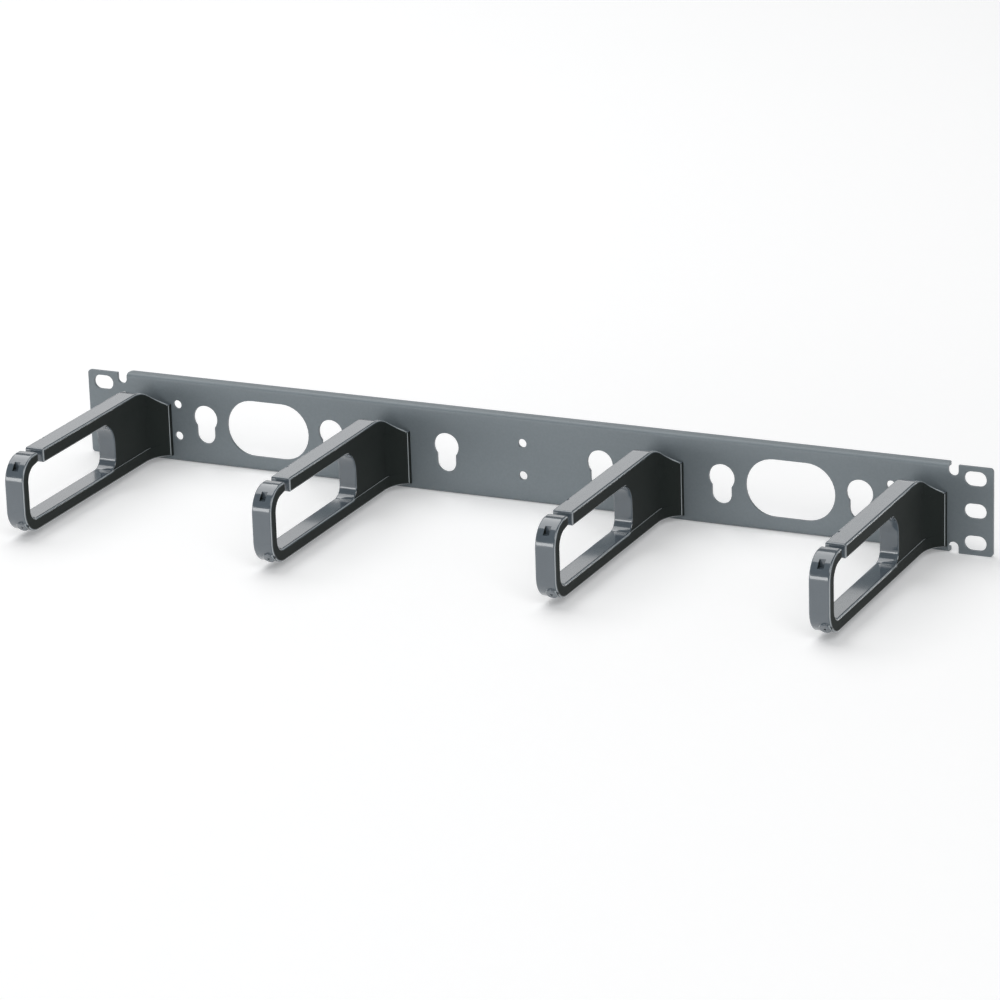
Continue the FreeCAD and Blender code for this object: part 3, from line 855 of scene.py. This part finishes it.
# %% Profile of a screw
def screw_profile(tree, given):
    """Half section of the screw, from the middle of its head to its tip."""
    head_r = add(tree, MATH, {0: given["Head diameter"], 1: 0.5}, operation="MULTIPLY")
    shank_r = add(tree, MATH, {0: given["Shank diameter"], 1: 0.5}, operation="MULTIPLY")
    tip_r = add(tree, MATH, {0: shank_r, 1: 0.5}, operation="MULTIPLY")
    tip_y = add(tree, MATH, {0: given["Length"], 1: -1.0}, operation="MULTIPLY")
    taper_y = add(tree, MATH, {0: tip_y, 1: given["Tip"]}, operation="ADD")
    head_y = given["Head height"]
    corners = [(0.0, head_y), (head_r, head_y), (head_r, 0.0), (shank_r, 0.0),
               (shank_r, taper_y), (tip_r, tip_y), (0.0, tip_y)]
    line = add(tree, "GeometryNodeCurvePrimitiveLine")
    points = add(tree, "GeometryNodeResampleCurve", {"Curve": line, "Count": len(corners)})
    index = add(tree, "GeometryNodeInputIndex")
    chooser = add(tree, "GeometryNodeIndexSwitch", {"Index": index}, data_type="VECTOR")
    while len(chooser.index_switch_items) < len(corners):
        chooser.index_switch_items.new()
    for number, (radius, along) in enumerate(corners):
        shifted = add(tree, MATH, {0: radius, 1: LATHE_R}, operation="SUBTRACT")
        place = add(tree, "ShaderNodeCombineXYZ", {"X": shifted, "Y": along})
        tree.links.new(place.outputs["Vector"], chooser.inputs[str(number)])
    drawn = add(tree, "GeometryNodeSetPosition", {"Geometry": points, "Position": chooser})
    rim = add(tree, "FunctionNodeCompare", {"A": index, "B": RIM},
              data_type="INT", operation="EQUAL")
    rounding = add(tree, MATH, {0: rim, 1: given["Head edge"]}, operation="MULTIPLY")
    return add(tree, "GeometryNodeFilletCurve",
               {"Curve": drawn, "Radius": rounding, "Count": HEAD_EDGE_STEPS}, mode="POLY")


print("straights round a screw:", LATHE_SIDES)

# %% [markdown]
# A press sinks the cross into the head. Two crossed blocks, centred on the head's top
# and twice as deep as the recess, take the same steel away.

# %% Cross recess
def cross_cutter(tree, given):
    """Two crossed blocks that reach from beyond the head down to the recess floor."""
    deep = add(tree, MATH, {0: given["Cross depth"], 1: 2.0}, operation="MULTIPLY")
    head_z = add(tree, MATH, {0: given["Head height"], 1: -1.0}, operation="MULTIPLY")
    place = add(tree, "ShaderNodeCombineXYZ", {"Z": head_z})
    blocks = []
    for x, y in (("Cross span", "Cross width"), ("Cross width", "Cross span")):
        size = add(tree, "ShaderNodeCombineXYZ", {"X": given[x], "Y": given[y], "Z": deep})
        block = add(tree, "GeometryNodeMeshCube", {"Size": size})
        blocks.append(add(tree, "GeometryNodeTransform",
                          {"Geometry": block, "Translation": place}))
    return blocks


print("recess is", round(SCREW_SIZES["Cross depth"] / MM, 2), "mm deep")

# %% [markdown]
# The lathe's seam is welded first, because a boolean needs a closed body. Only then is
# the screw cut, turned to the rear and set on its points.

# %% Turned, recessed and repeated
def screw_tree():
    """Whole tree of the screws."""
    tree, given = new_tree("ring screws", SCREW_SIZES)
    circle = add(tree, "GeometryNodeCurvePrimitiveCircle",
                 {"Radius": LATHE_R, "Resolution": LATHE_SIDES})
    turned = add(tree, "GeometryNodeCurveToMesh",
                 {"Curve": circle, "Profile Curve": screw_profile(tree, given)})
    closed = add(tree, "GeometryNodeMergeByDistance", {"Geometry": turned, "Distance": WELD})
    cut = add(tree, "GeometryNodeMeshBoolean",
              {"Mesh 1": closed, "Mesh 2": cross_cutter(tree, given)},
              operation="DIFFERENCE", solver="EXACT")
    laid = add(tree, "GeometryNodeTransform",
               {"Geometry": cut, "Rotation": (math.pi / 2, 0.0, 0.0)})
    copies = add(tree, "GeometryNodeInstanceOnPoints",
                 {"Points": given["Geometry"], "Instance": laid})
    close_tree(tree, copies, ZINC)
    return tree


screws = grown("pan_head_screws", screw_plan(), screw_tree(), SCREW_SIZES)
screws.data.shade_smooth()
screws.data.set_sharp_from_angle(angle=SMOOTH_BELOW)
measured(screws)
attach(screws, "root")
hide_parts("ring_screws")

# %% [markdown]
# ## The rings
# A ring is one moulding with tapers, a hollow flare, rounded edges, a gate pocket and
# a lug, and the CAD already holds all of it. Its mesh stays as it is and only puts on
# the plastic.

# %% Dress the rings
for number in (1, 2, 3, 4):
    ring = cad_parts[f"ring_{number}"]
    for slot in ring.material_slots:
        slot.material = MOULDED_ABS
    print(ring.name, "wears", MOULDED_ABS.name)

# %% [markdown]
# ## The studio
# The object lies on white paper. Seen by the camera or in a mirror, the paper glows a
# little beyond the light that falls on it, as a sweep lit from behind does, so that it
# reads as white while the object keeps its shadow. Light that bounces off it softly is
# left as it falls.

# %% Paper
FLOOR_Z = cad_low[2]
FLOOR_HALF = 8.0                 # metres
PAPER_GLOW = 0.2
FIBRE_SPACING = 4 * MM


def background_rays(tree):
    """One for rays that should see the background as it is meant to look."""
    rays = add(tree, "ShaderNodeLightPath").outputs
    mirrored = add(tree, MATH, {0: rays["Is Glossy Ray"], 1: rays["Is Transmission Ray"]},
                   operation="MAXIMUM")
    return add(tree, MATH, {0: rays["Is Camera Ray"], 1: mirrored}, operation="MAXIMUM")


def white_paper():
    """Finish of the paper."""
    material, tree, output = new_material("white paper")
    place = add(tree, "ShaderNodeTexCoord").outputs["Object"]
    fibre = add(tree, "ShaderNodeTexNoise",
                {"Vector": place, "Scale": 1 / FIBRE_SPACING, "Detail": 2.0})
    white = add(tree, "ShaderNodeMix",
                {"Factor": fibre, "A": colour("#F6F6F6"), "B": colour("#F9F9F9")},
                data_type="RGBA").outputs[2]
    paper = add(tree, "ShaderNodeBsdfDiffuse", {"Color": white})
    strength = add(tree, MATH, {0: background_rays(tree), 1: PAPER_GLOW}, operation="MULTIPLY")
    glow = add(tree, "ShaderNodeEmission", {"Color": colour("#FFFFFF"), "Strength": strength})
    both = add(tree, "ShaderNodeAddShader", {0: paper, 1: glow})
    tree.links.new(both.outputs["Shader"], output.inputs["Surface"])
    return material


def lay_paper():
    """Large square of paper under the object."""
    mesh = bpy.data.meshes.new("paper")
    corners = [(x * FLOOR_HALF, y * FLOOR_HALF, FLOOR_Z)
               for x, y in ((-1, -1), (1, -1), (1, 1), (-1, 1))]
    mesh.from_pydata(corners, [], [(0, 1, 2, 3)])
    mesh.materials.append(white_paper())
    paper = bpy.data.objects.new("paper", mesh)
    bpy.context.scene.collection.objects.link(paper)


lay_paper()
print("paper lies at", round(FLOOR_Z / MM, 2), "mm")

# %% [markdown]
# Five soft boxes do the lighting. A long strip low in front lights the sheet and the
# rings' fronts, and mirrors as the bright band where a post bends back. A box on the
# right fills the fronts without showing in those mirrors. A large one above and to
# the left keeps the shadows soft. Plastic seen at a low angle mirrors strongly, so a
# dim box low behind the object turns the arms' level tops pale, and a thin strip near
# the floor catches the edges. Each is given how bright its surface is, because that is
# what a reflection shows. Angles are in degrees, and the rest of its sizes in metres.

# %% Lamps
def soft_box(name, azimuth, elevation, distance, width, height, radiance):
    """Area lamp aimed at the object, turned left from straight in front of it."""
    turn = math.radians(azimuth)
    climb = math.radians(elevation)
    place = distance * Vector((-math.sin(turn) * math.cos(climb),
                               -math.cos(turn) * math.cos(climb), math.sin(climb)))
    lamp = bpy.data.lights.new(name, "AREA")
    lamp.shape = "RECTANGLE"
    lamp.size = width
    lamp.size_y = height
    lamp.energy = radiance * math.pi * width * height
    box = bpy.data.objects.new(name, lamp)
    box.location = place
    box.rotation_mode = "QUATERNION"
    box.rotation_quaternion = (-place).to_track_quat("-Z", "Y")
    box.visible_camera = False
    bpy.context.scene.collection.objects.link(box)
    print(f"{name}: {radiance} bright, {width} x {height} m, {azimuth} left, {elevation} up")


soft_box("low front strip", azimuth=30, elevation=5.5, distance=2.6,
         width=3.8, height=0.52, radiance=4.2)
soft_box("right box", azimuth=-35, elevation=42, distance=2.4,
         width=1.6, height=1.4, radiance=2.2)
soft_box("top box", azimuth=117, elevation=64, distance=2.2,
         width=2.2, height=2.2, radiance=2.1)
soft_box("rear box", azimuth=153, elevation=18, distance=2.4,
         width=2.4, height=0.5, radiance=0.8)
soft_box("low rear strip", azimuth=210, elevation=4, distance=2.3,
         width=1.2, height=0.12, radiance=6.0)

# %% [markdown]
# The walls of the room stand far away and send a little light in from everywhere, so
# that no shadow is quite black. A world of one even colour does that.

# %% Room
WALL_STRENGTH = 0.22


def room():
    """World of one dim, nearly white colour."""
    world = bpy.data.worlds.new("studio")
    world.use_nodes = True
    world.node_tree.nodes.clear()
    walls = add(world.node_tree, "ShaderNodeBackground",
                {"Color": colour("#F4F6F8"), "Strength": WALL_STRENGTH})
    add(world.node_tree, "ShaderNodeOutputWorld", {"Surface": walls})
    return world


bpy.context.scene.world = room()
print("the room's walls are dim and even")

# %% [markdown]
# The camera stands in front on the right and above, well back behind a long lens, so
# the far end of the sheet is nearly as large as the near one.

# %% Camera
EYE = Vector((908.4, -1965.5, 714.57)) * MM
AIM = Vector((-12.86, -1.5, -22.26)) * MM
ROLL = math.radians(-1.82)
SENSOR_WIDTH = 36.0              # millimetres, as cameras are sold
FOCAL_LENGTH = 168.1

camera_data = bpy.data.cameras.new("camera")
camera_data.sensor_width = SENSOR_WIDTH
camera_data.lens = FOCAL_LENGTH
camera = bpy.data.objects.new("camera", camera_data)
camera.location = EYE
camera.rotation_mode = "QUATERNION"
camera.rotation_quaternion = (AIM - EYE).to_track_quat("-Z", "Y") @ Quaternion((0, 0, 1), ROLL)
bpy.context.scene.collection.objects.link(camera)
bpy.context.scene.camera = camera
bpy.context.scene.view_settings.view_transform = "Standard"
print("camera is", round((AIM - EYE).length, 2), "m from its aim")
